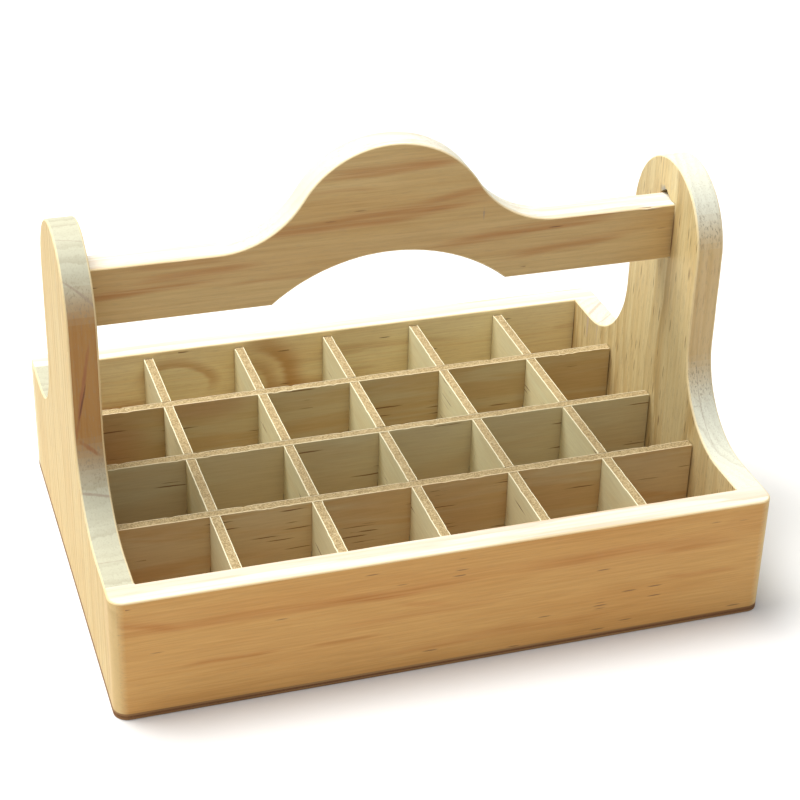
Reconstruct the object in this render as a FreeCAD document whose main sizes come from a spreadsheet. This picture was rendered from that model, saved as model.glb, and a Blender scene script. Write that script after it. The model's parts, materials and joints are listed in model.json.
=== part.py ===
import FreeCAD, Part
import math
import os

import Sketcher

# A wooden tool storage caddy: a shallow open box with a tall shaped panel at each end, a shaped
# carrying handle let into those panels, and a loose egg-crate of half-lapped dividers inside.
# X runs along the box, -Y is the front, Z is up, and the origin is the centre of the underside.

DIMENSIONS = [
    # name, millimetres, what it is
    ("box_length", 300, "outside length, along X"),
    ("box_width", 220, "outside width, along Y"),
    ("rim_height", 60, "table to the top edge of the front and back panels"),
    ("wall_thickness", 13, "front and back panels"),
    ("end_thickness", 13, "end panels"),
    ("bottom_thickness", 3, "bottom panel, flush with the outside of the walls"),
    ("corner_radius", 6.5, "upright outside corners, in plan"),
    ("edge_easing", 1, "sanded round on edges that a hand meets"),
    ("end_height", 180, "table to the top of an end panel"),
    ("neck_width", 71, "end panel where it carries the handle"),
    ("sweep_radius", 41.5, "hollow sweep from the rim up to the neck"),
    ("handle_thickness", 15, "handle board"),
    ("handle_end_bottom", 133.5, "table to the underside of the handle at its ends"),
    ("handle_end_depth", 27.5, "height of the handle board at its ends"),
    ("handle_crown_height", 205, "table to the top of the handle"),
    ("crown_radius", 48, "round top of the handle"),
    ("shoulder_radius", 45, "hollow either side of the crown"),
    ("hand_arch_width", 110, "hand opening, along the underside of the handle"),
    ("hand_arch_rise", 19.8, "how far the hand opening rises into the handle"),
    ("mortise_depth", 6.5, "blind mortise for the handle in each end panel"),
    ("mortise_side_gap", 0.25, "handle to mortise, each side"),
    ("mortise_top_gap", 0.4, "handle to mortise, above"),
    ("mortise_end_gap", 0.3, "handle to the blind end of the mortise"),
    ("chip_height", 3.3, "chip above the right-hand mortise"),
    ("chip_depth", 3, "how far that chip goes into the panel"),
    ("divider_thickness", 4.8, "dividers"),
    ("divider_drop", 3, "rim down to the top of the dividers"),
    ("divider_play", 0.5, "divider ends to the walls, each end"),
    ("slot_gap", 0.4, "half-lap slot, wider than the divider that it takes"),
    ("lap_gap", 0.3, "space left between the two slot ends of a half-lap"),
    ("cells_along", 6, "cells along X"),
    ("cells_across", 4, "cells along Y"),
    ("pin_diameter", 1.2, "headless pins that hold the walls and the handle"),
    ("pin_length", 24, "headless pins"),
    ("pin_setting", 1, "headless pins, driven below the surface and filled over"),
    ("brad_diameter", 1.4, "brads that hold the bottom panel"),
    ("brad_length", 14, "brads, driven flush with the underside"),
]

PINS_PER_CORNER = 3
PINS_PER_HANDLE_END = 2
BRADS_PER_LONG_SIDE = 3
BRADS_PER_SHORT_SIDE = 2
POINT_SHARE = 1.5    # length of a pin's point, in pin diameters

document = FreeCAD.newDocument("caddy")
sheet = document.addObject("Spreadsheet::Sheet", "Dims")
for row, (alias, size, meaning) in enumerate(DIMENSIONS, start=1):
    sheet.set(f"A{row}", alias)
    sheet.set(f"B{row}", str(size))
    sheet.set(f"C{row}", meaning)
    sheet.setAlias(f"B{row}", alias)
document.recompute()


def value(expression):
    """The number that an expression on the sheet's names comes to."""
    number = sheet.evalExpression(str(expression))
    return float(getattr(number, "Value", number))


def times(factor, expression):
    return f"({factor}) * ({expression})"


# ---- named places, as expressions on the sheet ------------------------------------------------

HALF_LENGTH = "Dims.box_length / 2"
HALF_WIDTH = "Dims.box_width / 2"
INNER_HALF_LENGTH = "(Dims.box_length / 2 - Dims.end_thickness)"
INNER_HALF_WIDTH = "(Dims.box_width / 2 - Dims.wall_thickness)"
WALL_HEIGHT = "(Dims.rim_height - Dims.bottom_thickness)"
HALF_NECK = "Dims.neck_width / 2"
HANDLE_END_TOP = "(Dims.handle_end_bottom + Dims.handle_end_depth)"
GRID_HEIGHT = "(Dims.rim_height - Dims.divider_drop - Dims.bottom_thickness)"
PITCH_ALONG = "((2 * %s + Dims.divider_thickness) / Dims.cells_along)" % INNER_HALF_LENGTH
PITCH_ACROSS = "((2 * %s + Dims.divider_thickness) / Dims.cells_across)" % INNER_HALF_WIDTH


# ---- sketches ---------------------------------------------------------------------------------

def origin_plane(body, role):
    for feature in body.Origin.OriginFeatures:
        if feature.Role == role:
            return feature
    raise RuntimeError(f"{body.Name} has no {role}")


def pin_down(sketch, geometry, point, kind, expression):
    """Dimension one coordinate of a point from the sketch's origin, whichever side it is on."""
    number = value(expression)
    axis = {"DistanceX": -2, "DistanceY": -1}[kind]
    if abs(number) < 1e-9:
        sketch.addConstraint(Sketcher.Constraint("PointOnObject", geometry, point, axis))
        return
    if number > 0:
        rule = Sketcher.Constraint(kind, -1, 1, geometry, point, number)
        bound = expression
    else:
        rule = Sketcher.Constraint(kind, geometry, point, -1, 1, -number)
        bound = times(-1, expression)
    index = sketch.addConstraint(rule)
    sketch.setExpression(f"Constraints[{index}]", bound)


def outline(body, name, role, steps, lift=None):
    """A closed sketch. Each step is a vertex (x, y), or (x, y, centre_x, centre_y, turn) where an
    arc leaves it: turn is +1 counter-clockwise and -1 clockwise. lift moves it off its plane."""
    sketch = body.newObject("Sketcher::SketchObject", name)
    sketch.AttachmentSupport = [(origin_plane(body, role), "")]
    sketch.MapMode = "FlatFace"
    if lift:
        sketch.setExpression("AttachmentOffset.Base.z", lift)
    vertices = [FreeCAD.Vector(value(step[0]), value(step[1]), 0) for step in steps]
    ends = []
    for number, step in enumerate(steps):
        start = vertices[number]
        finish = vertices[(number + 1) % len(steps)]
        if len(step) == 2:
            geometry = sketch.addGeometry(Part.LineSegment(start, finish), False)
            ends.append((geometry, 1, 2))
            continue
        centre = FreeCAD.Vector(value(step[2]), value(step[3]), 0)
        circle = Part.Circle(centre, FreeCAD.Vector(0, 0, 1), (start - centre).Length)
        angles = [math.atan2(p.y - centre.y, p.x - centre.x) for p in (start, finish)]
        if step[4] > 0:
            geometry = sketch.addGeometry(Part.ArcOfCircle(circle, angles[0], angles[1]), False)
            ends.append((geometry, 1, 2))
        else:
            geometry = sketch.addGeometry(Part.ArcOfCircle(circle, angles[1], angles[0]), False)
            ends.append((geometry, 2, 1))
    for number, step in enumerate(steps):
        geometry, first, last = ends[number]
        following, following_first, _ = ends[(number + 1) % len(steps)]
        sketch.addConstraint(Sketcher.Constraint(
            "Coincident", geometry, last, following, following_first))
        pin_down(sketch, geometry, first, "DistanceX", step[0])
        pin_down(sketch, geometry, first, "DistanceY", step[1])
        if len(step) > 2:
            pin_down(sketch, geometry, 3, "DistanceY", step[3])
    return sketch


def rectangle(low_x, high_x, low_y, high_y):
    return [(low_x, low_y), (high_x, low_y), (high_x, high_y), (low_x, high_y)]


# ---- features ---------------------------------------------------------------------------------

def new_body(name, x="0", y="0", z="0", turned=False):
    """A body placed by expressions, turned half round about Z where its twin faces the other way."""
    body = document.addObject("PartDesign::Body", name)
    body.Label = name
    turn = 180 if turned else 0
    body.Placement = FreeCAD.Placement(
        FreeCAD.Vector(0, 0, 0), FreeCAD.Rotation(FreeCAD.Vector(0, 0, 1), turn))
    body.setExpression("Placement.Base.x", x)
    body.setExpression("Placement.Base.y", y)
    body.setExpression("Placement.Base.z", z)
    return body


def pad(body, name, sketch, thickness):
    feature = body.newObject("PartDesign::Pad", name)
    feature.Profile = sketch
    feature.setExpression("Length", thickness)
    sketch.Visibility = False
    document.recompute()
    return feature


def pocket(body, name, sketch, depth, reverse):
    """Cut a sketch into the body, and make sure that it took material away."""
    before = body.Shape.Volume
    feature = body.newObject("PartDesign::Pocket", name)
    feature.Profile = sketch
    feature.setExpression("Length", depth)
    feature.Reversed = reverse
    sketch.Visibility = False
    document.recompute()
    if body.Shape.Volume >= before:
        raise RuntimeError(f"{name} cuts nothing")
    return feature


def ease(body, name, base, wanted, radius="Dims.edge_easing"):
    """Round over the edges of a feature that the test picks out."""
    edges = [f"Edge{number}" for number, edge in enumerate(base.Shape.Edges, start=1)
             if wanted(edge)]
    feature = body.newObject("PartDesign::Fillet", name)
    feature.Base = (base, edges)
    feature.setExpression("Radius", radius)
    document.recompute()
    return feature


# ---- the box ----------------------------------------------------------------------------------

def long_wall(name, turned):
    """Front or back panel: full length, outside corners rounded, top edges eased. Its inside top
    edge is eased only between the end panels, so that the rim stays flush over their ends."""
    body = new_body(name, z="Dims.bottom_thickness", turned=turned)
    left = times(-1, HALF_LENGTH)
    outside = times(-1, HALF_WIDTH)
    inside = times(-1, INNER_HALF_WIDTH)
    corner_y = f"{outside} + Dims.corner_radius"
    corner_x = f"{HALF_LENGTH} - Dims.corner_radius"
    plan = outline(body, name + "_plan", "XY_Plane", [
        (HALF_LENGTH, inside),
        (left, inside),
        (left, corner_y, times(-1, corner_x), corner_y, 1),
        (times(-1, corner_x), outside),
        (corner_x, outside, corner_x, corner_y, 1),
        (HALF_LENGTH, corner_y),
    ])
    board = pad(body, name + "_board", plan, WALL_HEIGHT)
    top = value(WALL_HEIGHT)
    inner_edge = value(inside)

    def outer_top(edge):
        return edge.BoundBox.ZMin > top - 0.01 and edge.BoundBox.Center.y < inner_edge - 0.01

    ease(body, name + "_outer_easing", board, outer_top)
    easing = outline(body, name + "_inner_easing_section", "YZ_Plane", [
        (inside, WALL_HEIGHT),
        (f"{inside} - Dims.edge_easing", WALL_HEIGHT,
         f"{inside} - Dims.edge_easing", f"{WALL_HEIGHT} - Dims.edge_easing", -1),
        (inside, f"{WALL_HEIGHT} - Dims.edge_easing"),
    ], lift=times(-1, INNER_HALF_LENGTH))
    pocket(body, name + "_inner_easing", easing, times(2, INNER_HALF_LENGTH), True)
    return body


def end_panel(name, turned, chipped):
    """Shaped end panel, between the front and back panels, with a blind mortise for the handle."""
    side = -1 if turned else 1
    body = new_body(name, x=times(side, INNER_HALF_LENGTH), turned=turned)
    foot = f"({HALF_NECK} + Dims.sweep_radius)"
    sweep_top = "(Dims.rim_height + Dims.sweep_radius)"
    head_centre = f"(Dims.end_height - {HALF_NECK})"
    face = outline(body, name + "_face", "YZ_Plane", [
        (times(-1, INNER_HALF_WIDTH), "Dims.bottom_thickness"),
        (INNER_HALF_WIDTH, "Dims.bottom_thickness"),
        (INNER_HALF_WIDTH, "Dims.rim_height"),
        (foot, "Dims.rim_height", foot, sweep_top, -1),
        (HALF_NECK, sweep_top),
        (HALF_NECK, head_centre, "0", head_centre, 1),
        (times(-1, HALF_NECK), head_centre),
        (times(-1, HALF_NECK), sweep_top, times(-1, foot), sweep_top, -1),
        (times(-1, foot), "Dims.rim_height"),
        (times(-1, INNER_HALF_WIDTH), "Dims.rim_height"),
    ])
    board = pad(body, name + "_board", face, "Dims.end_thickness")
    rim = value("Dims.rim_height")
    thickness = value("Dims.end_thickness")

    def shaped(edge):
        box = edge.BoundBox
        return box.ZMin > rim - 0.01 and box.XLength < thickness / 2

    ease(body, name + "_easing", board, shaped)
    half_mortise = "(Dims.handle_thickness / 2 + Dims.mortise_side_gap)"
    mortise_top = f"({HANDLE_END_TOP} + Dims.mortise_top_gap)"
    mouth = outline(body, name + "_mortise_mouth", "YZ_Plane", rectangle(
        times(-1, half_mortise), half_mortise, "Dims.handle_end_bottom", mortise_top))
    pocket(body, name + "_mortise", mouth, "Dims.mortise_depth", True)
    if chipped:
        third = f"{half_mortise} / 3"
        chip = outline(body, name + "_chip_outline", "YZ_Plane", [
            (half_mortise, mortise_top),
            (third, f"{mortise_top} + Dims.chip_height"),
            (times(-1, third), mortise_top),
        ])
        pocket(body, name + "_chip", chip, "Dims.chip_depth", True)
    return body


def bottom_panel(name):
    """Thin bottom, under the walls and flush with their outside, corners and all."""
    body = new_body(name)
    corner_x = f"({HALF_LENGTH} - Dims.corner_radius)"
    corner_y = f"({HALF_WIDTH} - Dims.corner_radius)"
    steps = []
    for x_side, y_side in ((-1, -1), (1, -1), (1, 1), (-1, 1)):
        centre = (times(x_side, corner_x), times(y_side, corner_y))
        on_end = (times(x_side, HALF_LENGTH), centre[1])
        on_wall = (centre[0], times(y_side, HALF_WIDTH))
        enter, leave = (on_end, on_wall) if x_side == y_side else (on_wall, on_end)
        steps.append(enter + centre + (1,))
        steps.append(leave)
    plan = outline(body, name + "_plan", "XY_Plane", steps)
    pad(body, name + "_board", plan, "Dims.bottom_thickness")
    return body


# ---- the handle -------------------------------------------------------------------------------

def handle_board(name):
    """One board: straight ends that enter the mortises, a round crown between hollow shoulders
    above, and a shallow arch for the hand below."""
    body = new_body(name, y="Dims.handle_thickness / 2")
    reach = f"({INNER_HALF_LENGTH} + Dims.mortise_depth - Dims.mortise_end_gap)"
    crown_centre = "(Dims.handle_crown_height - Dims.crown_radius)"
    shoulder_centre = f"({HANDLE_END_TOP} + Dims.shoulder_radius)"
    radii = "(Dims.crown_radius + Dims.shoulder_radius)"
    shoulder_x = f"sqrt({radii}^2 - ({shoulder_centre} - {crown_centre})^2)"
    share = f"(Dims.crown_radius / {radii})"
    meeting_x = f"({share} * {shoulder_x})"
    meeting_z = f"({crown_centre} + {share} * ({shoulder_centre} - {crown_centre}))"
    half_arch = "Dims.hand_arch_width / 2"
    arch_radius = f"((({half_arch})^2 + Dims.hand_arch_rise^2) / (2 * Dims.hand_arch_rise))"
    arch_centre = f"(Dims.handle_end_bottom + Dims.hand_arch_rise - {arch_radius})"
    face = outline(body, name + "_face", "XZ_Plane", [
        (times(-1, reach), "Dims.handle_end_bottom"),
        (times(-1, half_arch), "Dims.handle_end_bottom", "0", arch_centre, -1),
        (half_arch, "Dims.handle_end_bottom"),
        (reach, "Dims.handle_end_bottom"),
        (reach, HANDLE_END_TOP),
        (shoulder_x, HANDLE_END_TOP, shoulder_x, shoulder_centre, -1),
        (meeting_x, meeting_z, "0", crown_centre, 1),
        (times(-1, meeting_x), meeting_z, times(-1, shoulder_x), shoulder_centre, -1),
        (times(-1, shoulder_x), HANDLE_END_TOP),
        (times(-1, reach), HANDLE_END_TOP),
    ])
    board = pad(body, name + "_board", face, "Dims.handle_thickness")
    thickness = value("Dims.handle_thickness")

    def along_the_board(edge):
        box = edge.BoundBox
        return box.YLength < thickness / 2 and box.XLength > 1

    ease(body, name + "_easing", board, along_the_board)
    return body


# ---- the dividers -----------------------------------------------------------------------------

def divider(name, plane_role, half_span, slots, pitch, from_below, x="0", y="0"):
    """One divider of the egg-crate. Its slots take the crossing dividers by half their height:
    dividers along the box are slotted from below, dividers across it from above."""
    body = new_body(name, x=x, y=y, z="Dims.bottom_thickness")
    reach = f"({half_span} - Dims.divider_play)"
    face = outline(body, name + "_face", plane_role, rectangle(
        times(-1, reach), reach, "0", GRID_HEIGHT))
    board = pad(body, name + "_board", face, "Dims.divider_thickness")
    half_slot = "(Dims.divider_thickness / 2 + Dims.slot_gap / 2)"
    first = f"(-({slots} - 1) / 2 * {pitch})"
    half_height = f"({GRID_HEIGHT} / 2)"
    if from_below:
        low, high = "0", f"({half_height} + Dims.lap_gap / 2)"
    else:
        low, high = f"({half_height} - Dims.lap_gap / 2)", GRID_HEIGHT
    slot = outline(body, name + "_slot_face", plane_role, rectangle(
        f"{first} - {half_slot}", f"{first} + {half_slot}", low, high))
    cut = pocket(body, name + "_slot", slot, "Dims.divider_thickness", True)
    one_slot = board.Shape.Volume - cut.Shape.Volume
    pattern = body.newObject("PartDesign::LinearPattern", name + "_slots")
    pattern.Originals = [cut]
    pattern.Direction = (face, ["H_Axis"])
    pattern.setExpression("Length", f"({slots} - 1) * {pitch}")
    pattern.setExpression("Occurrences", slots)
    body.Tip = pattern
    document.recompute()
    removed = board.Shape.Volume - body.Shape.Volume
    if abs(removed - value(slots) * one_slot) > 1:
        raise RuntimeError(f"{name} has the wrong number of slots")
    return body


# ---- pins and brads ---------------------------------------------------------------------------

def fastener(name, diameter, length, direction, x, y, z):
    """A headless pin that starts at (x, y, z) and runs in a direction, with a sharp point."""
    turn = FreeCAD.Rotation(FreeCAD.Vector(0, 0, 1), FreeCAD.Vector(*direction))
    point_length = f"{POINT_SHARE} * {diameter}"
    shank = document.addObject("Part::Cylinder", name + "_shank")
    shank.setExpression("Radius", f"{diameter} / 2")
    shank.setExpression("Height", f"{length} - {point_length}")
    point = document.addObject("Part::Cone", name + "_point")
    point.setExpression("Radius1", f"{diameter} / 2")
    point.Radius2 = 0
    point.setExpression("Height", point_length)
    point.setExpression("Placement.Base.z", f"{length} - {point_length}")
    whole = document.addObject("Part::Fuse", name)
    whole.Base = shank
    whole.Tool = point
    whole.Placement = FreeCAD.Placement(FreeCAD.Vector(0, 0, 0), turn)
    whole.setExpression("Placement.Base.x", x)
    whole.setExpression("Placement.Base.y", y)
    whole.setExpression("Placement.Base.z", z)
    return whole


def group(name, solids):
    compound = document.addObject("Part::Compound", name)
    compound.Label = name
    compound.Links = solids
    return compound


def wall_pins(name, side):
    """Pins through the front or back panel into the edges of both end panels."""
    middle = f"({INNER_HALF_LENGTH} + Dims.end_thickness / 2)"
    pins = []
    for end in (-1, 1):
        for number in range(PINS_PER_CORNER):
            share = (number + 0.5) / PINS_PER_CORNER
            pins.append(fastener(
                f"{name}_{len(pins) + 1}", "Dims.pin_diameter", "Dims.pin_length", (0, -side, 0),
                times(end, middle), times(side, f"{HALF_WIDTH} - Dims.pin_setting"),
                f"Dims.bottom_thickness + {share} * {WALL_HEIGHT}"))
    return group(name, pins)


def handle_pins(name, side):
    """Pins through an end panel into the end of the handle board."""
    pins = []
    for number in range(PINS_PER_HANDLE_END):
        share = (number + 0.5) / PINS_PER_HANDLE_END
        pins.append(fastener(
            f"{name}_{number + 1}", "Dims.pin_diameter", "Dims.pin_length", (-side, 0, 0),
            times(side, f"{HALF_LENGTH} - Dims.pin_setting"), "0",
            f"Dims.handle_end_bottom + {share} * Dims.handle_end_depth"))
    return group(name, pins)


def bottom_brads(name):
    """Brads up through the bottom panel into the lower edges of all four walls."""
    wall_middle = f"({INNER_HALF_WIDTH} + Dims.wall_thickness / 2)"
    end_middle = f"({INNER_HALF_LENGTH} + Dims.end_thickness / 2)"
    places = []
    for side in (-1, 1):
        for number in range(BRADS_PER_LONG_SIDE):
            share = (2 * number + 1) / BRADS_PER_LONG_SIDE - 1
            places.append((times(share, INNER_HALF_LENGTH), times(side, wall_middle)))
        for number in range(BRADS_PER_SHORT_SIDE):
            share = (2 * number + 1) / BRADS_PER_SHORT_SIDE - 1
            places.append((times(side, end_middle), times(share, INNER_HALF_WIDTH)))
    return group(name, [
        fastener(f"{name}_{number}", "Dims.brad_diameter", "Dims.brad_length", (0, 0, 1),
                 x, y, "0")
        for number, (x, y) in enumerate(places, start=1)])


def drilled(name, blank, tools):
    """The finished board: its blank less the pins and brads that are driven into it."""
    blank.Label = name + "_blank"
    board = document.addObject("Part::Cut", name + "_drilled")
    board.Label = name
    board.Base = blank
    board.Tool = tools
    return board


# ---- the whole assembly -----------------------------------------------------------------------

fasteners = [
    wall_pins("front_panel_pins", -1),
    wall_pins("back_panel_pins", 1),
    handle_pins("handle_pins_left", -1),
    handle_pins("handle_pins_right", 1),
    bottom_brads("bottom_panel_brads"),
]
driven = group("driven_fasteners", fasteners)
blanks = {
    "front_panel": long_wall("front_panel", False),
    "back_panel": long_wall("back_panel", True),
    "end_panel_left": end_panel("end_panel_left", True, False),
    "end_panel_right": end_panel("end_panel_right", False, True),
    "bottom_panel": bottom_panel("bottom_panel"),
    "handle_board": handle_board("handle_board"),
}
nodes = [drilled(name, blank, driven) for name, blank in blanks.items()]
nodes += fasteners

along_count = int(value("Dims.cells_across")) - 1
across_count = int(value("Dims.cells_along")) - 1
for number in range(along_count):
    offset = f"({number} - ({along_count} - 1) / 2) * {PITCH_ACROSS}"
    nodes.append(divider(
        f"long_divider_{number + 1}", "XZ_Plane", INNER_HALF_LENGTH, "(Dims.cells_along - 1)",
        PITCH_ALONG, True, y=f"{offset} + Dims.divider_thickness / 2"))
for number in range(across_count):
    offset = f"({number} - ({across_count} - 1) / 2) * {PITCH_ALONG}"
    nodes.append(divider(
        f"cross_divider_{number + 1}", "YZ_Plane", INNER_HALF_WIDTH, "(Dims.cells_across - 1)",
        PITCH_ACROSS, False, x=f"{offset} - Dims.divider_thickness / 2"))

document.recompute()
for item in document.Objects:
    if "Invalid" in item.State or "Error" in item.State:
        raise RuntimeError(f"{item.Label} failed: {item.State}")
for node in nodes:
    if node.Shape.isNull() or not node.Shape.isValid() or not node.Shape.Solids:
        raise RuntimeError(f"{node.Label} has no valid solid")

os.makedirs("parts", exist_ok=True)
for node in nodes:
    node.Shape.exportStep(f"parts/{node.Label}.step")
    print(node.Label, len(node.Shape.Solids), "solid(s)", round(node.Shape.Volume), "mm3")
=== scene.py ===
import json
import math
import random

import bmesh
import bpy
from mathutils import Matrix, Vector, noise

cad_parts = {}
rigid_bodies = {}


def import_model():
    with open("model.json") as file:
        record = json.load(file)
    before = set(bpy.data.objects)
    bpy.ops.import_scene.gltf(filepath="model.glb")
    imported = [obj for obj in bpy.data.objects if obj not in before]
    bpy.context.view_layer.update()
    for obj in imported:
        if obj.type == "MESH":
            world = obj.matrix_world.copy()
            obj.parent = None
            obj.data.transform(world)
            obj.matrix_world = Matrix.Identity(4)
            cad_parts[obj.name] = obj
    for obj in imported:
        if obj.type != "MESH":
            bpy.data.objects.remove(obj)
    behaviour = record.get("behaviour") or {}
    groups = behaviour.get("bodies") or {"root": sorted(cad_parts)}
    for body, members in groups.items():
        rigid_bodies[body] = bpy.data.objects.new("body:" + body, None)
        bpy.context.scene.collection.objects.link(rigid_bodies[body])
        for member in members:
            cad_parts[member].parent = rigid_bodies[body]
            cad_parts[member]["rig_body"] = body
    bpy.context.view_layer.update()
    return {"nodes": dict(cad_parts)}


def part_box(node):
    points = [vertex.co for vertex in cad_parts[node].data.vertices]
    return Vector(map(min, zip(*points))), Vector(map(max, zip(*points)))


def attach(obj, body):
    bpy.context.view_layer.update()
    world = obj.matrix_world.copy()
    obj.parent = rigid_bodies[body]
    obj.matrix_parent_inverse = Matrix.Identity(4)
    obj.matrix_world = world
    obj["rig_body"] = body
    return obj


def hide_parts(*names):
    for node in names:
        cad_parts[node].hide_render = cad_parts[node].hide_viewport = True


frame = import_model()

MM = 0.001
VENEER = 0.5 * MM          # face veneers of the dividers
SLOT_PLAY = 0.2 * MM       # each side of a divider in the slot that it crosses
LAP_PLAY = 0.15 * MM       # between a slot's end and the middle of the divider's height
DIVIDER_STEP = 1.6 * MM    # spacing of the points round a divider's outline
TEARS = 22                 # torn places along the top edge of one face veneer
VENEER_ROUGH = 0.02 * MM   # how rough the saw leaves a face veneer
CORE_ROUGH = 0.07 * MM     # and the core
HAIR = 0.01 * MM           # sizes closer than this are the same
TOUCH = 0.001 * MM         # points nearer to a plane than this lie in it
FLAT_AREA = 40 * MM * MM   # a face larger than this is one of a board's flat sides
EDGE_STEP = 3 * MM         # spacing of the cuts across a board's rounded edges
WELD = 0.002 * MM          # points of a CAD mesh closer than this are one
FLAT_ANGLE = 0.8           # CAD triangles that turn by fewer degrees than this become one face
SANDING_SCALE = 60         # per metre: how fast the sanding varies along an edge
RAGGED_SCALE = 350         # per metre: how fast the depth of a dent varies
SAW_SCALE = 900            # per metre: roughness along the sawn edges of a divider
SAW_SCALE_ACROSS = 2500    # the same across the board


# ---- meshes -----------------------------------------------------------------------------------

def add_object(name, data):
    made = bpy.data.objects.new(name, data)
    bpy.context.scene.collection.objects.link(made)
    return made


def mesh_object(name, bm, materials):
    """An object made from a bmesh, which is used up."""
    mesh = bpy.data.meshes.new(name)
    bm.to_mesh(mesh)
    bm.free()
    for material in materials:
        mesh.materials.append(material)
    return add_object(name, mesh)


def replace_node(node, bm, materials, body):
    """Puts the mesh in place of a CAD node: it rides on a body and has its finish from a slot."""
    piece = mesh_object(node + "_board", bm, materials)
    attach(piece, body)
    modifier = piece.modifiers.new("weighted_normals", "WEIGHTED_NORMAL")
    modifier.keep_sharp = True
    modifier.weight = 100
    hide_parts(node)


def shade(bm, sharp_degrees):
    """Smooth shading that breaks at real corners."""
    limit = math.radians(sharp_degrees)
    for face in bm.faces:
        face.smooth = True
    for edge in bm.edges:
        edge.smooth = len(edge.link_faces) == 2 and edge.calc_face_angle(math.pi) < limit


def rolled_edges(bm):
    """Edges along a rounded-over corner: the surface turns outwards a little at each."""
    low, high = math.radians(2), math.radians(50)
    return [edge for edge in bm.edges
            if len(edge.link_faces) == 2 and low < edge.calc_face_angle_signed(0) < high]


def flat_sides(bm):
    """The planes of the big flat faces: (normal, a point in it) for each."""
    planes = []
    for face in bm.faces:
        here = face.calc_center_median()
        if face.calc_area() > FLAT_AREA and not any(
                normal.dot(face.normal) > 0.9999 and abs(normal.dot(here - place)) < TOUCH
                for normal, place in planes):
            planes.append((face.normal.copy(), here))
    return planes


def cut_across(bm):
    """Cuts the rounded edges across, along all three axes, no further apart than EDGE_STEP. The
    big flat faces only gain points along their outline."""
    faces = [face for face in bm.faces if face.calc_area() <= FLAT_AREA]
    edges = {edge for face in faces for edge in face.edges}
    pieces = [*faces, *edges, *{vertex for edge in edges for vertex in edge.verts}]
    for axis in range(3):
        places = [vertex.co[axis] for vertex in bm.verts]
        low, high = min(places), max(places)
        count = math.ceil((high - low) / EDGE_STEP)
        across = Vector((0, 0, 0))
        across[axis] = 1
        for number in range(1, count):
            place = low + (high - low) * number / count
            pieces = bmesh.ops.bisect_plane(bm, geom=pieces, dist=TOUCH, plane_co=across * place,
                                            plane_no=across)["geom"]


def press_in(vertex, push, planes):
    """Moves a vertex. One that lies in a flat side slides within it, so that it stays flat."""
    for normal, place in planes:
        if abs(normal.dot(vertex.co - place)) < 2 * TOUCH:
            push = push - normal * normal.dot(push)
    vertex.co += push


def hand_sanded(node, material, eased_axis, seed, nicks=(), depth=0.16 * MM):
    """A board with the shape of its CAD node, its rounded edges cut finer and sanded by hand: the
    rounding wanders by about depth along its length instead of being perfectly even. Faces that look
    neither along eased_axis nor square to it are marked as worn; the pine finish paints them paler,
    partly as sanded wood and partly as a painted highlight. A nick is (centre, radius, push)."""
    bm = bmesh.new()
    bm.from_mesh(frame["nodes"][node].data)
    bmesh.ops.remove_doubles(bm, verts=bm.verts, dist=WELD)
    bmesh.ops.dissolve_limit(bm, angle_limit=math.radians(FLAT_ANGLE), verts=bm.verts,
                             edges=bm.edges)
    bm.normal_update()
    planes = flat_sides(bm)
    cut_across(bm)
    bmesh.ops.triangulate(bm, faces=[face for face in bm.faces if len(face.verts) > 4])
    bm.normal_update()
    offset = Vector((seed * 7.3, seed * 3.1, seed * 1.7))
    for vertex in {vertex for edge in rolled_edges(bm) for vertex in edge.verts}:
        place = vertex.co * SANDING_SCALE + offset
        rub = max(0.0, noise.noise(place) + 0.5 * noise.noise(place * 3.1))
        press_in(vertex, -vertex.normal * depth * rub, planes)
        for centre, radius, push in nicks:
            near = 1 - (vertex.co - centre).length / radius
            if near > 0:
                ragged = 0.7 + 0.5 * noise.noise(vertex.co * RAGGED_SCALE)
                press_in(vertex, push * min(1.0, near * 2) * ragged, planes)
    wear_and_highlight = bm.faces.layers.float.new("wear_and_highlight")
    for face in bm.faces:
        face[wear_and_highlight] = 1.0 if 0.08 < abs(face.normal[eased_axis]) < 0.97 else 0.0
    shade(bm, 35)
    replace_node(node, bm, [material], frame["nodes"][node]["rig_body"])


def comb(low, high, slots, half_slot, slot_end, from_below):
    """Corners of a slotted board, counter-clockwise, seen flat: (along, up) pairs."""
    bottom, top = [], []
    for centre in slots:
        row, mouth = (bottom, low[1]) if from_below else (top, high[1])
        row.append([(centre - half_slot, mouth), (centre - half_slot, slot_end),
                    (centre + half_slot, slot_end), (centre + half_slot, mouth)])
    corners = [(low[0], low[1])]
    for notch in bottom:
        corners += notch
    corners += [(high[0], low[1]), (high[0], high[1])]
    for notch in reversed(top):
        corners += reversed(notch)
    return corners + [(low[0], high[1])]


def resampled(corners):
    """The same closed outline with extra points, no further apart than DIVIDER_STEP."""
    points = []
    for number, (x, y) in enumerate(corners):
        next_x, next_y = corners[(number + 1) % len(corners)]
        count = max(1, math.ceil(math.hypot(next_x - x, next_y - y) / DIVIDER_STEP))
        points += [(x + (next_x - x) * k / count, y + (next_y - y) * k / count)
                   for k in range(count)]
    return points


def inward(points):
    """For each point of a counter-clockwise outline, how it moves when the edges step in by 1."""
    moves = []
    for number, (x, y) in enumerate(points):
        before, after = points[number - 1], points[(number + 1) % len(points)]
        normals = []
        for dx, dy in ((x - before[0], y - before[1]), (after[0] - x, after[1] - y)):
            length = math.hypot(dx, dy)
            normals.append((-dy / length, dx / length))
        (ax, ay), (bx, by) = normals
        share = 1 + ax * bx + ay * by
        moves.append(((ax + bx) / share, (ay + by) / share))
    return moves


def torn_spots(rng, low, high):
    """Places along an edge where the saw has torn a face veneer: (centre, half width, depth)."""
    return [(rng.uniform(low, high), rng.uniform(0.5, 2.4) * MM, rng.uniform(0.15, 0.55) * MM)
            for _ in range(TEARS)]


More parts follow.
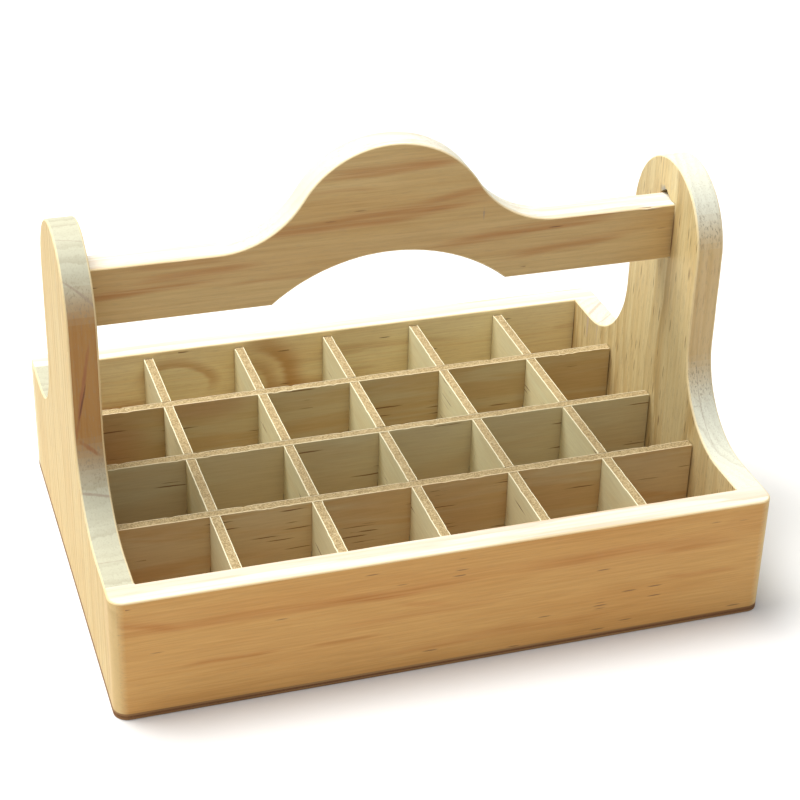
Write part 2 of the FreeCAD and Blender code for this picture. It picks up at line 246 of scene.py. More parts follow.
def tear(spots, along):
    """How deep the veneer is torn at a place along the edge."""
    return max((depth * (1 - abs(along - centre) / width)
                for centre, width, depth in spots if abs(along - centre) < width), default=0.0)


def divider(node, span, slots, half_slot, slot_end, from_below, materials, seed):
    """A thin board for the egg-crate: a pressed core between two face veneers. The veneers stand
    a little proud of the core along every sawn edge, and are torn here and there at the top.
    span is the row axis that it runs along."""
    low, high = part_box(node)
    through = 1 - span
    rng = random.Random(seed)
    corners = comb((low[span], low.z), (high[span], high.z), slots, half_slot, slot_end, from_below)
    points = resampled(corners)
    moves = inward(points)
    middle = (low[through] + high[through]) / 2
    half = (high[through] - low[through]) / 2
    torn = {side: torn_spots(rng, low[span], high[span]) for side in (-1, 1)}
    # one ring of points for each (place across the board, millimetres that the outline steps in)
    levels = [(-half, 0.14), (-half + 0.10 * MM, 0.02), (-half + VENEER, 0.0),
              (-half + VENEER + 0.05 * MM, 0.13), (-half * 0.4, 0.09)]
    levels += [(-place, step) for place, step in reversed(levels)]
    bm = bmesh.new()
    wear_and_highlight = bm.faces.layers.float.new("wear_and_highlight")
    rings = []
    for place, step in levels:
        ring = []
        outer = abs(place) >= half - VENEER - HAIR
        for (u, v), (du, dv) in zip(points, moves):
            rough = noise.noise(Vector((u * SAW_SCALE, v * SAW_SCALE + seed,
                                        place * SAW_SCALE_ACROSS)))
            depth = step * MM + (VENEER_ROUGH if outer else CORE_ROUGH) * (rough + 0.6)
            if outer and v > high.z - HAIR:
                depth += tear(torn[1 if place > 0 else -1], u)
            depth = max(depth, 0.0)
            where = [0.0, 0.0, v + dv * depth]
            where[span] = u + du * depth
            where[through] = middle + place
            ring.append(bm.verts.new(where))
        rings.append(ring)
    total = len(points)
    for level in range(len(levels) - 1):
        core = VENEER - half < (levels[level][0] + levels[level + 1][0]) / 2 < half - VENEER
        for k in range(total):
            corner = [rings[level][k], rings[level + 1][k], rings[level + 1][(k + 1) % total],
                      rings[level][(k + 1) % total]]
            face = bm.faces.new(corner if span == 0 else reversed(corner))
            face.material_index = 1 if core else 0
            face[wear_and_highlight] = 0.0 if core else 1.0
    for ring in (rings[0], rings[-1]):
        outline = [bm.edges.get((vertex, ring[number - 1])) for number, vertex in enumerate(ring)]
        bmesh.ops.triangle_fill(bm, edges=outline, use_beauty=True)
    bmesh.ops.recalc_face_normals(bm, faces=bm.faces)
    shade(bm, 30)
    replace_node(node, bm, materials, "divider_grid")


# ---- materials --------------------------------------------------------------------------------

class Graph:
    """Short names for building a node material."""

    def __init__(self, name):
        self.material = bpy.data.materials.new(name)
        self.material.use_nodes = True
        self.tree = self.material.node_tree
        self.tree.nodes.clear()
        self.shader = self.node("ShaderNodeBsdfPrincipled")
        output = self.node("ShaderNodeOutputMaterial")
        self.tree.links.new(self.shader.outputs[0], output.inputs["Surface"])

    def node(self, kind, **settings):
        node = self.tree.nodes.new(kind)
        for key, value in settings.items():
            setattr(node, key, value)
        return node

    def put(self, socket, value):
        if isinstance(value, bpy.types.NodeSocket):
            self.tree.links.new(value, socket)
        elif isinstance(value, (tuple, list)) and len(value) == 3 and socket.type == "RGBA":
            socket.default_value = (*value, 1.0)
        else:
            socket.default_value = value

    def math(self, operation, a, b=None, c=None):
        node = self.node("ShaderNodeMath", operation=operation)
        for index, value in enumerate((a, b, c)):
            if value is not None:
                self.put(node.inputs[index], value)
        return node.outputs[0]

    def vector(self, operation, a, b=None):
        node = self.node("ShaderNodeVectorMath", operation=operation)
        self.put(node.inputs[0], a)
        if b is not None:
            self.put(node.inputs[1], b)
        return node.outputs["Value" if operation in ("LENGTH", "DOT_PRODUCT") else "Vector"]

    def noise(self, vector, scale, detail, roughness=0.5, distortion=0.0, colour=False):
        """Noise over a point. scale is one number, or a triple for a different one per axis."""
        if isinstance(scale, tuple):
            vector = self.vector("MULTIPLY", vector, scale)
            scale = 1.0
        node = self.node("ShaderNodeTexNoise")
        self.put(node.inputs["Vector"], vector)
        for key, value in (("Scale", scale), ("Detail", detail), ("Roughness", roughness),
                           ("Distortion", distortion)):
            self.put(node.inputs[key], value)
        return node.outputs["Color" if colour else "Fac"]

    def cells(self, vector):
        """Cells about scattered seed points: the distance to the nearest and its own draw."""
        node = self.node("ShaderNodeTexVoronoi", feature="F1")
        self.put(node.inputs["Vector"], vector)
        self.put(node.inputs["Scale"], 1.0)
        return node.outputs["Distance"], self.split(node.outputs["Color"])

    def wear_and_highlight(self):
        """The share of worn edge stored in the mesh's faces; the pine finish also paints a highlight
        there.
        """
        return self.node("ShaderNodeAttribute", attribute_name="wear_and_highlight").outputs["Fac"]

    def step(self, value, low, high, out_low=0.0, out_high=1.0):
        """A smooth step from out_low to out_high as value goes from low to high."""
        node = self.node("ShaderNodeMapRange", interpolation_type="SMOOTHSTEP")
        for key, number in (("Value", value), ("From Min", low), ("From Max", high),
                            ("To Min", out_low), ("To Max", out_high)):
            self.put(node.inputs[key], number)
        return node.outputs["Result"]

    def mix(self, factor, a, b, blend="MIX"):
        node = self.node("ShaderNodeMix", data_type="RGBA", blend_type=blend)
        self.put(node.inputs["Factor"], factor)
        self.put(node.inputs["A"], a)
        self.put(node.inputs["B"], b)
        return node.outputs["Result"]

    def millimetres(self, order="XYZ"):
        """The point in millimetres, its axes reordered so that the grain runs along the first."""
        place = self.node("ShaderNodeTexCoord").outputs["Object"]
        split = self.split(self.vector("MULTIPLY", place, (1000, 1000, 1000)))
        join = self.node("ShaderNodeCombineXYZ")
        for index, axis in enumerate(order):
            self.put(join.inputs[index], split[axis])
        return join.outputs[0]

    def split(self, vector):
        node = self.node("ShaderNodeSeparateXYZ")
        self.put(node.inputs[0], vector)
        return node.outputs

    def bump(self, height, strength, distance):
        node = self.node("ShaderNodeBump")
        node.inputs["Strength"].default_value = strength
        node.inputs["Distance"].default_value = distance
        self.put(node.inputs["Height"], height)
        self.put(self.shader.inputs["Normal"], node.outputs[0])


def tinted(colour, factors):
    return tuple(channel * factor for channel, factor in zip(colour, factors))


RESIN = (0.22, 0.11, 0.045)
FILLED_PIT = (0.30, 0.24, 0.16)
# partly a painted highlight: pale sanded wood on the rounded edges, made as pale as the light that
# they catch
SANDED_EDGE_HIGHLIGHT = (0.94, 0.76, 0.42)
VENEER_FLECK = (0.19, 0.075, 0.02)
VENEER_EDGE = (0.84, 0.77, 0.58)
BLUSH = (0.52, 0.27, 0.12)


def streak(g, along, up, drift, lines, place, height, slope, half_length, width):
    """A band of darker growth that runs nearly along the grain, crisp below and faded above."""
    off = g.math("SUBTRACT", along, place)
    centre = g.math("MULTIPLY_ADD", drift, 9.0, g.math("MULTIPLY_ADD", off, slope, height - 4.5))
    gap = g.math("DIVIDE", g.math("SUBTRACT", up, centre), width)
    profile = g.math("MULTIPLY", g.step(gap, -1.0, -0.2), g.step(gap, -0.1, 1.3, 1.0, 0.0))
    reach = g.math("DIVIDE", g.math("ABSOLUTE", off), half_length)
    profile = g.math("MULTIPLY", profile, g.step(reach, 0.35, 1.0, 1.0, 0.0))
    return g.math("MULTIPLY", profile, g.step(lines, 0.30, 0.62, 0.35, 1.0))


def bow(g, point, drift, centre, reach, thick, turn):
    """A bowed growth band, crisp inside and faded outside: part of an ellipse about a centre with
    a reach along and up, which dies out some millimetres into the board. turn is the way that
    the middle of the bow looks, in degrees from the grain."""
    along, side, up = g.split(g.vector("SUBTRACT", point, centre))
    right = g.math("DIVIDE", along, reach[0])
    above = g.math("DIVIDE", up, reach[1])
    round_it = g.math("SQRT", g.math("ADD", g.math("POWER", right, 2.0), g.math("POWER", above, 2.0)))
    gap = g.math("MULTIPLY_ADD", g.math("SUBTRACT", drift, 0.5), 1.2, g.math("SUBTRACT", round_it, 1))
    gap = g.math("DIVIDE", gap, thick)
    profile = g.math("MULTIPLY", g.step(gap, -0.5, 0.1), g.step(gap, 0.1, 1.6, 1.0, 0.0))
    looks = g.math("MULTIPLY_ADD", right, math.cos(math.radians(turn)),
                   g.math("MULTIPLY", above, math.sin(math.radians(turn))))
    profile = g.math("MULTIPLY", profile, g.step(g.math("ABSOLUTE", side), 3, 11, 1.0, 0.0))
    return g.math("MULTIPLY", profile, g.step(looks, -0.1, 0.8))


def spot(g, point, rough, centre, half, shear):
    """A blurred ellipsoid about a centre. shear moves it sideways with the distance along, and
    up with the distance sideways."""
    gap = g.split(g.vector("SUBTRACT", point, centre))
    side = g.math("MULTIPLY_ADD", gap[0], -shear[0], gap[1])
    up = g.math("MULTIPLY_ADD", gap[1], -shear[1], gap[2])
    total = None
    for distance, size in zip((gap[0], side, up), half):
        part = g.math("POWER", g.math("DIVIDE", g.math("ABSOLUTE", distance), size), 2.0)
        total = part if total is None else g.math("ADD", total, part)
    return g.step(g.math("MULTIPLY_ADD", rough, 1.6, total), 0.7, 2.0, 1.0, 0.0)


def pine(name, order, pith, spacing, seed, contrast, pale, late, lean=(0.02, 0.0), flecks=0.05,
         ends_and_top_highlight=(0.72, 0.70, 0.57), rim_and_top_highlight=(0.82, 0.78, 0.68), rim_and_top_highlight_depth=0.75, grain=0.38, pits=1.0,
         streaks=(), bows=(), spots=()):
    """Solid pine. order names the grain axis first; pith is where the heart of the tree runs,
    in millimetres across the grain, lean its slopes along the board and spacing the width of a
    growth ring. Rings, fibres and resin flecks are cut through by every face, so end grain
    matches face grain. pale and late are the colours of early and late wood, and contrast says
    how much of the late wood shows. ends is the colour of end grain, and on the tops of the end
    panels it is partly a painted highlight. rim is that of the long narrow sides, which look along
    the third axis; on boards whose third axis is up these are the tops, and there it is partly a
    painted highlight. grain is how strongly the fibres show, flecks how common resin is, and pits how
    deeply sanded end grain is pitted. streaks, bows and spots are marks on the board, in millimetres
    along the grain and across it: the board's own grain marks, and among the spots some painted shade
    at its joints."""
    g = Graph(name)
    point = g.millimetres(order)
    seeded = g.vector("ADD", point, (seed * 131.0, seed * 57.0, seed * 91.0))
    along, side, up = g.split(point)

    # growth rings about a heart that wanders, each with its own strength
    wander = g.noise(seeded, (0.006, 0.012, 0.012), 2.0, colour=True)
    wander = g.split(g.vector("SUBTRACT", wander, (0.5, 0.5, 0.5)))
    across = g.node("ShaderNodeCombineXYZ")
    for index, (coordinate, heart) in enumerate(zip((side, up), pith)):
        shifted = g.math("ADD", coordinate, g.math("MULTIPLY_ADD", along, -lean[index], -heart))
        g.put(across.inputs[index], g.math("MULTIPLY_ADD", wander[index], 22.0, shifted))
    radius = g.vector("LENGTH", across.outputs[0])
    fine = g.noise(seeded, (0.02, 0.30, 0.30), 3.0)
    phase = g.math("MULTIPLY_ADD", fine, 0.7, g.math("DIVIDE", radius, spacing))
    ring = g.math("FRACT", phase)
    late_wood = g.math("MULTIPLY", g.step(ring, 0.25, 0.86), g.step(ring, 0.90, 1.0, 1.0, 0.0))
    which = g.node("ShaderNodeTexWhiteNoise", noise_dimensions="1D")
    g.put(which.inputs["W"], g.math("FLOOR", phase))
    strength = g.step(which.outputs["Value"], 0.0, 1.0, 0.25, 1.0)
    late_wood = g.math("MULTIPLY", late_wood, strength)

    # fibres, fine and broad lines, and flecks of resin
    fibre = g.noise(seeded, (0.03, 1.0, 1.0), 5.0, 0.68)
    lines = g.noise(seeded, (0.010, 0.55, 0.55), 3.0)
    broad = g.noise(seeded, (0.010, 0.045, 0.045), 2.0)
    distance, draw = g.cells(g.vector("MULTIPLY", seeded, (0.075, 0.80, 0.80)))
    chance = g.math("MULTIPLY_ADD", g.step(broad, 0.40, 0.65), -1.6 * flecks, 1.0 - 0.2 * flecks)
    chosen = g.math("GREATER_THAN", draw[0], chance)
    fleck = g.math("MULTIPLY", g.step(distance, 0.14, 0.34, 1.0, 0.0), chosen)

    # the broad faces
    colour = g.mix(g.math("MULTIPLY", late_wood, contrast), pale, late)
    warm = tinted(pale, (0.92, 0.82, 0.68))
    colour = g.mix(g.step(broad, 0.42, 0.68, 0.0, 0.55), colour, warm)
    colour = g.mix(g.step(lines, 0.46, 0.72, 0.0, 0.4), colour, warm)
    drift = g.noise(seeded, (0.016, 0.03, 0.03), 1.0)
    for place, height, slope, half_length, width, depth in streaks:
        mask = streak(g, along, up, drift, lines, place, height, slope, half_length, width)
        colour = g.mix(g.math("MULTIPLY", mask, depth), colour, late)
    for centre, reach, thick, turn, depth in bows:
        unsteady = g.math("MULTIPLY_ADD", lines, 0.12, g.math("SUBTRACT", drift, 0.06))
        mask = bow(g, point, unsteady, centre, reach, thick, turn)
        colour = g.mix(g.math("MULTIPLY", mask, depth), colour, late)
    shadow = tuple(1 - grain * dip for dip in (0.26, 0.32, 0.42))
    light = tuple(1 + grain * rise for rise in (0.15, 0.19, 0.24))
    fibres = g.mix(g.step(fibre, 0.28, 0.72), shadow, light)
    colour = g.mix(1.0, colour, fibres, "MULTIPLY")
    colour = g.mix(g.math("MULTIPLY", fleck, 0.85), colour, RESIN)

    # the long narrow sides, then end grain and its pits; where these faces are the tops of the boards
    # their colours are partly painted highlight
    normal = g.split(g.node("ShaderNodeTexCoord").outputs["Normal"])
    end_grain = g.step(g.math("ABSOLUTE", normal["XYZ".index(order[0])]), 0.05, 0.75)
    narrow = g.step(g.math("ABSOLUTE", normal["XYZ".index(order[2])]), 0.25, 0.95, 0.0, rim_and_top_highlight_depth)
    streaked_rim_and_top_highlight = tinted(rim_and_top_highlight, (0.92, 0.86, 0.76))
    side_on_and_top_highlight = g.mix(g.step(lines, 0.42, 0.70), rim_and_top_highlight, streaked_rim_and_top_highlight)
    side_on_and_top_highlight = g.mix(g.math("MULTIPLY", late_wood, 0.35), side_on_and_top_highlight, late)
    # painted highlight: where the third axis is up, as on the front, back and handle boards, these
    # faces are the tops and undersides, and their pale rim colour is partly painted highlight
    colour = g.mix(narrow, colour, side_on_and_top_highlight)
    sanded = g.noise(seeded, (0.2, 1.3, 1.3), 3.0, 0.7)
    half_way = g.math("MULTIPLY", end_grain, g.math("SUBTRACT", 1.0, end_grain))
    pitted = g.math("MULTIPLY", g.step(sanded, 0.52, 0.64), g.math("ADD", half_way, 0.12))
    dull_ends_and_top_highlight = tinted(ends_and_top_highlight, (0.60, 0.55, 0.50))
    end_face_and_top_highlight = g.mix(g.math("MULTIPLY", late_wood, 0.35), ends_and_top_highlight, dull_ends_and_top_highlight)
    # painted highlight: on the end panels the end grain is their tops, and its pale grey colour there
    # is partly painted highlight
    colour = g.mix(g.math("MULTIPLY", end_grain, 0.9), colour, end_face_and_top_highlight)
    colour = g.mix(g.math("MULTIPLY", pitted, 2.0 * pits), colour, FILLED_PIT)

    # marks that lie over all of it, and worn edges, painted paler partly as sanded wood and partly as
    # a painted highlight
    rough = g.noise(seeded, (0.12, 0.7, 0.7), 3.0)
    for centre, half, shear, depth, tone in spots:
        mask = g.math("MULTIPLY", spot(g, point, rough, centre, half, shear), depth)
        colour = g.mix(mask, colour, tone)
    # painted highlight: the rounded edges are painted paler, partly for sanded wood and partly for
    # the light that they catch
    colour = g.mix(g.math("MULTIPLY", g.wear_and_highlight(), 0.55), colour, SANDED_EDGE_HIGHLIGHT)
    g.put(g.shader.inputs["Base Color"], colour)
    g.put(g.shader.inputs["Roughness"], g.step(fibre, 0.2, 0.8, 0.66, 0.50))
    g.shader.inputs["Specular IOR Level"].default_value = 0.3
    relief = g.math("SUBTRACT", fibre, g.math("MULTIPLY", late_wood, 0.25))
    g.bump(g.math("SUBTRACT", relief, fleck), 0.35, 0.12 * MM)
    return g.material


def veneer(name, order, seed, pale, flecks, warmth, edge, blushes=()):
    """Rotary-cut face veneer: even, fine-grained, with thin dark flecks along the grain, which
    come in clusters. flecks is the share of cells that hold one in the middle of a cluster,
    warmth how strong its warmer bands are, edge how pale its sawn edges are, and blushes are its
    reddish places: (centre, half sizes, depth)."""
    g = Graph(name)
    point = g.millimetres(order)
    seeded = g.vector("ADD", point, (seed * 83.0, seed * 47.0, seed * 29.0))
    fibre = g.noise(seeded, (0.06, 1.1, 1.1), 5.0, 0.70)
    bands = g.noise(seeded, (0.010, 0.09, 0.09), 3.0, 0.5, 0.6)
    cluster = g.noise(seeded, (0.018, 0.05, 0.05), 1.0)
    bent = g.noise(seeded, (0.06, 0.12, 0.12), 2.0, colour=True)
    stretched = g.vector("MULTIPLY", seeded, (0.030, 0.85, 0.85))
    bent = g.vector("MULTIPLY", bent, (0.3, 0.8, 0.8))
    distance, draw = g.cells(g.vector("ADD", stretched, bent))
    chance = g.step(cluster, 0.42, 0.60, 1.0 - 0.1 * flecks, 1.0 - flecks)
    chosen = g.math("GREATER_THAN", draw[0], chance)
    size = g.math("MULTIPLY_ADD", g.math("POWER", draw[1], 2.0), 0.30, 0.12)
    fleck = g.step(g.math("DIVIDE", distance, size), 0.55, 1.1, 1.0, 0.0)
    fleck = g.math("MULTIPLY", fleck, chosen)
    warm = tinted(pale, (0.88, 0.70, 0.50))
    colour = g.mix(g.step(bands, 0.40, 0.62, 0.0, warmth), pale, warm)
    for centre, half, depth in blushes:
        mask = g.math("MULTIPLY", spot(g, point, bands, centre, half, (0, 0)), depth)
        colour = g.mix(mask, colour, BLUSH)
    colour = g.mix(1.0, colour, g.mix(fibre, (0.80, 0.77, 0.72), (1.12, 1.14, 1.17)), "MULTIPLY")
    colour = g.mix(g.math("MULTIPLY", fleck, 0.85), colour, VENEER_FLECK)
    colour = g.mix(g.math("MULTIPLY", g.wear_and_highlight(), edge), colour, VENEER_EDGE)
    g.put(g.shader.inputs["Base Color"], colour)
    g.put(g.shader.inputs["Roughness"], g.step(fibre, 0.2, 0.8, 0.72, 0.58))
    g.shader.inputs["Specular IOR Level"].default_value = 0.3
    g.bump(g.math("SUBTRACT", fibre, fleck), 0.35, 0.10 * MM)
    return g.material


def pressed_core(name):
    """Sawn edge of the pressed fibre core: speckled tan with loose paler fibres."""
    g = Graph(name)
    point = g.millimetres()
    grit = g.noise(point, 1.5, 4.0, 0.75)
    clumps = g.noise(point, 0.5, 2.0)
    colour = g.mix(g.step(grit, 0.32, 0.70), (0.23, 0.155, 0.065), (0.62, 0.485, 0.265))
    colour = g.mix(g.step(clumps, 0.50, 0.70, 0.0, 0.3), colour, (0.70, 0.58, 0.36))
    g.put(g.shader.inputs["Base Color"], colour)
    g.shader.inputs["Roughness"].default_value = 0.9
    g.shader.inputs["Specular IOR Level"].default_value = 0.2
    g.bump(grit, 0.6, 0.25 * MM)
    return g.material


def plywood(name, low, high):
    """Three-ply base board between two heights in millimetres: brown face plies whose grain runs
    along the box, and a darker middle ply that shows its end grain at the edges."""
    g = Graph(name)
    point = g.millimetres()
    height = g.split(point)[2]
    fibre = g.noise(point, (0.05, 1.5, 1.5), 4.0, 0.65)
    bands = g.noise(point, (0.006, 0.05, 0.4), 3.0, 0.5, 0.6)
    pores = g.noise(point, (2.2, 0.2, 2.2), 3.0, 0.7)
    outer = g.mix(g.step(bands, 0.40, 0.64), (0.38, 0.215, 0.095), (0.27, 0.135, 0.055))
    outer = g.mix(1.0, outer, g.mix(fibre, (0.75, 0.72, 0.68), (1.15, 1.17, 1.2)), "MULTIPLY")
    inner = g.mix(g.step(pores, 0.35, 0.65), (0.12, 0.048, 0.018), (0.26, 0.12, 0.045))
    third = (high - low) / 3
    blur = 0.1    # millimetres to each side of a glue line
    middle = g.math("MULTIPLY", g.step(height, low + third - blur, low + third + blur),
                    g.step(height, high - third - blur, high - third + blur, 1.0, 0.0))
    g.put(g.shader.inputs["Base Color"], g.mix(middle, outer, inner))
    g.shader.inputs["Roughness"].default_value = 0.8
    g.shader.inputs["Specular IOR Level"].default_value = 0.25
    g.bump(g.math("ADD", fibre, pores), 0.4, 0.12 * MM)
    return g.material


def wire_steel(name):
    """Drawn steel wire of the pins and brads: bright, dulled in fine blotches."""
    g = Graph(name)
    point = g.millimetres()
    blotch = g.noise(point, 1.3, 3.0, 0.6)
    g.put(g.shader.inputs["Base Color"], g.mix(blotch, (0.42, 0.41, 0.40), (0.66, 0.65, 0.63)))
    g.put(g.shader.inputs["Roughness"], g.step(blotch, 0.3, 0.7, 0.25, 0.5))
    g.shader.inputs["Metallic"].default_value = 1.0
    g.bump(blotch, 0.2, 0.03 * MM)
    return g.material


# ---- the box and handle -----------------------------------------------------------------------

GREY_PITS = (0.30, 0.29, 0.25)
GROWTH_LINE = (0.34, 0.26, 0.19)
RED_HEART = (0.33, 0.13, 0.05)
HEART_CRACK = (0.15, 0.06, 0.03)
# painted shade: dark lines on the right end panel where the handle and the back panel meet it
PAINTED_JOINT_SHADE = (0.20, 0.11, 0.05)
SOFT_BAND = (0.62, 0.50, 0.38)
THROUGH = 40    # half size of a mark that goes right through a board

# streaks: (place along, height, slope, half length, width, depth)
# bows: (centre, reach along and up, thickness, turn, depth)
# spots: (centre, half sizes, shear, depth, colour)
# the rim colours of the front, back and handle boards and the end-grain colours of the end panels are
# partly painted highlight on their tops
BOARDS = {
    "front_panel": dict(
        order="XYZ", pith=(-70, 22), spacing=9, seed=1, contrast=0.25,
        pale=(0.62, 0.345, 0.108), late=(0.47, 0.185, 0.04), ends_and_top_highlight=(0.70, 0.50, 0.22), pits=0.3,
        rim_and_top_highlight_depth=0.9,
        streaks=((-70, 44, 0.0, 95, 2.6, 1.0), (-139, 47, -0.2, 22, 2.4, 0.8),
                 (-14, 36, -0.2, 15, 2.2, 0.4), (82, 44, -0.02, 62, 5.0, 0.6),
                 (-100, 24, 0.03, 26, 1.4, 0.7), (-50, 23, 0.0, 20, 1.2, 0.7),
                 (20, 12, 0.02, 70, 3.0, 0.4), (118, 27, 0.0, 24, 1.6, 0.7),
                 (-20, 31, 0.05, 60, 4.0, 0.3))),
    "back_panel": dict(
        order="XYZ", pith=(160, 36), spacing=8, lean=(0, 0.03), seed=2, contrast=0.4,
        pale=(0.98, 0.88, 0.55), late=(0.60, 0.34, 0.12), ends_and_top_highlight=(0.70, 0.60, 0.36), pits=0.3,
        rim_and_top_highlight=(0.84, 0.82, 0.75), flecks=0.05,
        streaks=((-115, 30, 0.05, 22, 4.0, 0.6), (60, 22, 0.03, 60, 3.0, 0.4),
                 (30, 47, -0.02, 50, 2.0, 0.4)),
        bows=(((-40, 97, 33), (24, 22), 0.30, 15, 0.8), ((-42, 97, 31), (15, 14), 0.30, 10, 0.5),
              ((-26, 97, 22), (36, 11), 0.35, 60, 0.45), ((-80, 97, 36), (17, 14), 0.30, 75, 0.6))),
    "end_panel_left": dict(
        order="ZXY", pith=(-120, 330), spacing=6, lean=(0, 0.01), seed=3, contrast=1.0,
        pale=(0.71, 0.54, 0.245), late=(0.56, 0.36, 0.12), flecks=0.01, rim_and_top_highlight=(0.39, 0.19, 0.05),
        rim_and_top_highlight_depth=0.95, grain=0.45, ends_and_top_highlight=(0.50, 0.505, 0.39),
        spots=(((118, -145, -35), (25, 1.1, 5), (0.17, 0), 1.0, RED_HEART),
               ((112, -145.6, -35), (12, 0.5, 5), (0.22, 0), 0.9, HEART_CRACK),
               ((91, -143.5, -36), (5, 1.8, 6), (-1.1, 0), 0.7, RED_HEART),
               ((74, -143.5, -46.6), (16, THROUGH, 0.55), (0, -0.17), 0.7, GROWTH_LINE),
               ((60, -143.5, -79), (14, THROUGH, 0.4), (0, 0), 0.5, GROWTH_LINE),
               ((162, -143.5, -30.4), (16, THROUGH, 0.45), (0, -0.49), 0.65, GROWTH_LINE),
               ((150, -143.5, -12), (50, THROUGH, 0.4), (0, -0.2), 0.55, GROWTH_LINE),
               ((176, -143.5, -1), (9, THROUGH, 0.5), (0, 0), 0.4, GROWTH_LINE))),
    "end_panel_right": dict(
        order="ZXY", pith=(250, -30), spacing=4.5, lean=(0.015, 0), seed=4, contrast=0.75,
        pale=(0.75, 0.615, 0.325), late=(0.50, 0.33, 0.12), flecks=0.35, rim_and_top_highlight=(0.66, 0.47, 0.24),
        grain=0.42, ends_and_top_highlight=(0.74, 0.76, 0.65),
        spots=(((163, 137, 5), (3.0, 3.5, 3.5), (0, 0), 0.9, GREY_PITS),
               # painted shade: a dark line on the inner face just in front of the handle's end
               ((147, 137, -8.3), (15, 1.5, 1.0), (0, 0), 0.9, PAINTED_JOINT_SHADE),
               # painted shade: a dark line down the inner corner beside the back panel
               ((32, 137, 96.5), (32, 1.5, 0.9), (0, 0), 0.8, PAINTED_JOINT_SHADE),
               ((178, 136, 8), (22, 9, 0.5), (0, 0), 0.5, GROWTH_LINE),
               ((60, 143.5, 85), (14, THROUGH, 1.5), (0, 1.0), 0.9, SOFT_BAND),
               ((62, 143.5, 72), (14, THROUGH, 0.8), (0, 0.9), 0.8, SOFT_BAND),
               ((80, 142, -48), (32, 0.35, 28), (0.02, 0), 0.45, GROWTH_LINE))),
    "handle_board": dict(
        order="XYZ", pith=(-80, 165), spacing=7, lean=(0, 0.06), seed=5, contrast=0.22,
        pale=(0.60, 0.42, 0.185), late=(0.45, 0.215, 0.07), flecks=0.02, rim_and_top_highlight_depth=0.9,
        rim_and_top_highlight=(0.80, 0.78, 0.71), pits=0.5,
        streaks=((-112, 148, 0.02, 42, 3.0, 0.9), (-88, 153, 0.03, 34, 2.5, 0.8),
                 (-95, 158, -0.02, 30, 2.5, 0.5),
                 (-16, 170, 0.07, 76, 4.0, 1.0), (14, 176, 0.10, 48, 2.6, 0.8),
                 (-24, 187, 0.0, 22, 1.6, 0.5), (0, 195, 0.03, 42, 3.2, 0.9),
                 (66, 156, 0.08, 58, 3.6, 0.9), (84, 146, 0.06, 40, 3.0, 0.6),
                 (108, 161, 0.03, 36, 2.2, 0.6), (-55, 146, 0.02, 30, 1.8, 0.5)),
        spots=(((43, -7, 167), (0.5, 3, 3.6), (0.05, 0), 0.7, GROWTH_LINE),)),
}
# the axis that a board's worn edges lean over from: 0 is X, 1 is Y and 2 is Z
EASED = {"front_panel": 2, "back_panel": 2, "end_panel_left": 0, "end_panel_right": 0,
         "handle_board": 1, "bottom_panel": 2}
# dents: (centre, radius, push), in metres
NICKS = {"handle_board": ((Vector((0.1245, -0.0075, 0.1606)), 5 * MM, Vector((0, 0.5, -0.9)) * MM),
                          (Vector((-0.0957, -0.0075, 0.1605)), 3 * MM, Vector((0, 0.4, -0.5)) * MM))}

for number, (node, wood) in enumerate(BOARDS.items()):
    hand_sanded(node, pine(node + "_pine", **wood), EASED[node], seed=number,
                nicks=NICKS.get(node, ()))
base_low, base_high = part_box("bottom_panel")
hand_sanded("bottom_panel", plywood("base_plywood", base_low.z / MM, base_high.z / MM),
            EASED["bottom_panel"], seed=6, depth=0.05 * MM)


# ---- the divider grid -------------------------------------------------------------------------

CROSS_TINT = (0.84, 0.79, 0.50)
LONG_FACES = (dict(pale=(0.73, 0.60, 0.34), flecks=0.6, warmth=0.65),     # front to back
              dict(pale=(0.70, 0.62, 0.38), flecks=0.25, warmth=0.35),
              dict(pale=(0.66, 0.56, 0.33), flecks=0.35, warmth=0.6,
                   blushes=(((-125, 50, 30), (26, 9, 40), 0.65),
                            ((-78, 50, 54), (30, 9, 9), 0.5))))

LONG = sorted(node for node in frame["nodes"] if node.startswith("long_divider_"))
CROSS = sorted(node for node in frame["nodes"] if node.startswith("cross_divider_"))


def middles(nodes, axis):
    """Where the dividers stand along an axis, in order."""
    return sorted((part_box(node)[0][axis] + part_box(node)[1][axis]) / 2 for node in nodes)


core = pressed_core("pressed_core")
grid_low, grid_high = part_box(LONG[0])
half_slot = (grid_high.y - grid_low.y) / 2 + SLOT_PLAY
half_way = (grid_low.z + grid_high.z) / 2
for number, node in enumerate(LONG):
    face = veneer(node + "_veneer", "XYZ", seed=11 + number, edge=0.35, **LONG_FACES[number])
    divider(node, 0, middles(CROSS, 0), half_slot, half_way + LAP_PLAY, True, [face, core],
            seed=number)
for number, node in enumerate(CROSS):
    face = veneer(node + "_veneer", "YXZ", seed=21 + number, edge=0.6, pale=CROSS_TINT,
                  flecks=0.25, warmth=0.2)
    divider(node, 1, middles(LONG, 1), half_slot, half_way - LAP_PLAY, False, [face, core],
            seed=10 + number)


# ---- pins and brads: small CAD nodes as they are, in steel -------------------------------------

steel = wire_steel("wire_steel")
for node, piece in frame["nodes"].items():
    if "pins" in node or "brads" in node:
        piece.data.materials.clear()
        piece.data.materials.append(steel)


# ---- floor, light and camera ------------------------------------------------------------------

FLOOR_HALF = 6             # metres from the middle of the floor to its sides
FLOOR_DROP = 0.2 * MM      # below the base board, so that the two faces don't meet
LIT_POINT = (0, 0, 0.05)   # where the lamps look, in metres


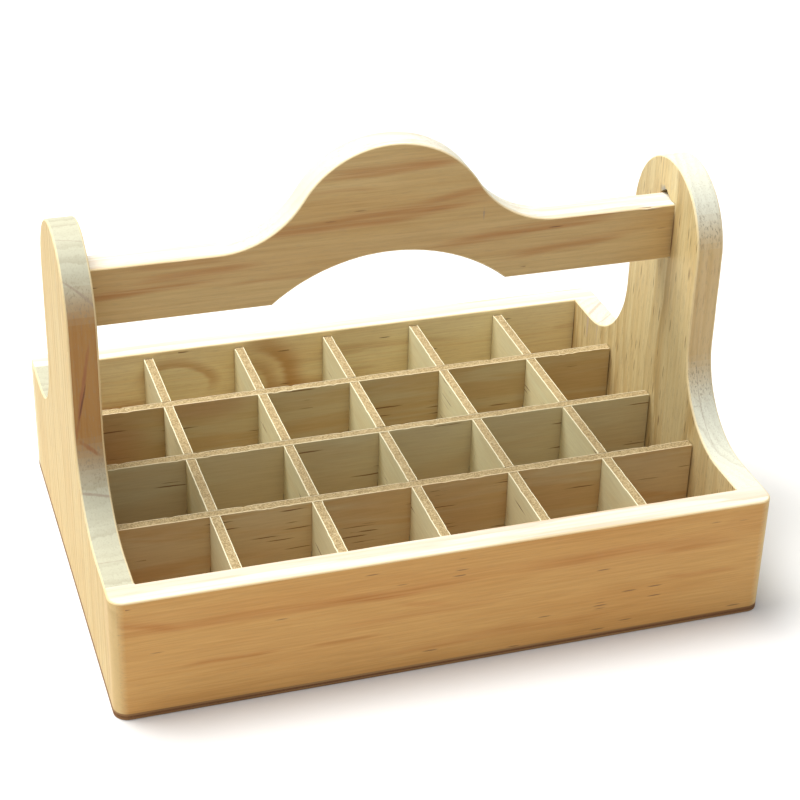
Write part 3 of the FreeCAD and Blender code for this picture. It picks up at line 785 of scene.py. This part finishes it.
def floor():
    g = Graph("pale_floor")
    g.shader.inputs["Base Color"].default_value = (0.9, 0.9, 0.9, 1)
    g.shader.inputs["Roughness"].default_value = 0.9
    bm = bmesh.new()
    bmesh.ops.create_grid(bm, x_segments=8, y_segments=8, size=FLOOR_HALF)
    plane = mesh_object("studio_floor", bm, [g.material])
    plane.location.z = -FLOOR_DROP


def area_light(name, place, size, power, colour=(1, 1, 1)):
    """A round lamp that looks at LIT_POINT; size is its width in metres and power is in watts."""
    light = bpy.data.lights.new(name, "AREA")
    light.shape = "DISK"
    light.size = size
    light.energy = power
    light.color = colour
    lamp = add_object(name, light)
    lamp.location = place
    lamp.rotation_euler = (Vector(LIT_POINT) - Vector(place)).to_track_quat("-Z", "Y").to_euler()


def camera(place, azimuth, elevation, roll, lens):
    """Azimuth is turned from +Y towards +X, elevation is up, and roll tips the view."""
    az, el, tip = (math.radians(angle) for angle in (azimuth, elevation, roll))
    ahead = Vector((math.sin(az) * math.cos(el), math.cos(az) * math.cos(el), math.sin(el)))
    level = ahead.cross(Vector((0, 0, 1))).normalized()
    above = level.cross(ahead)
    right = level * math.cos(tip) + above * math.sin(tip)
    up = above * math.cos(tip) - level * math.sin(tip)
    data = bpy.data.cameras.new("view")
    data.sensor_width = 36
    data.lens = lens
    view = add_object("view", data)
    turn = Matrix((right, up, -ahead)).transposed()
    view.matrix_world = Matrix.Translation(place) @ turn.to_4x4()
    bpy.context.scene.camera = view


floor()
area_light("key", (-0.55, 0.5, 1.85), size=1.5, power=58, colour=(1.0, 0.995, 0.97))
area_light("fill", (-0.2, -1.0, 1.8), size=1.3, power=5)
world = bpy.data.worlds.new("studio")
world.use_nodes = True
background = world.node_tree.nodes["Background"].inputs
background["Color"].default_value = (1, 1, 1, 1)
background["Strength"].default_value = 0.36
bpy.context.scene.world = world
bpy.context.scene.view_settings.view_transform = "Standard"
camera(Vector((-0.2447, -0.7620, 0.5334)), azimuth=18.37, elevation=-29.9, roll=1.64, lens=88.55)
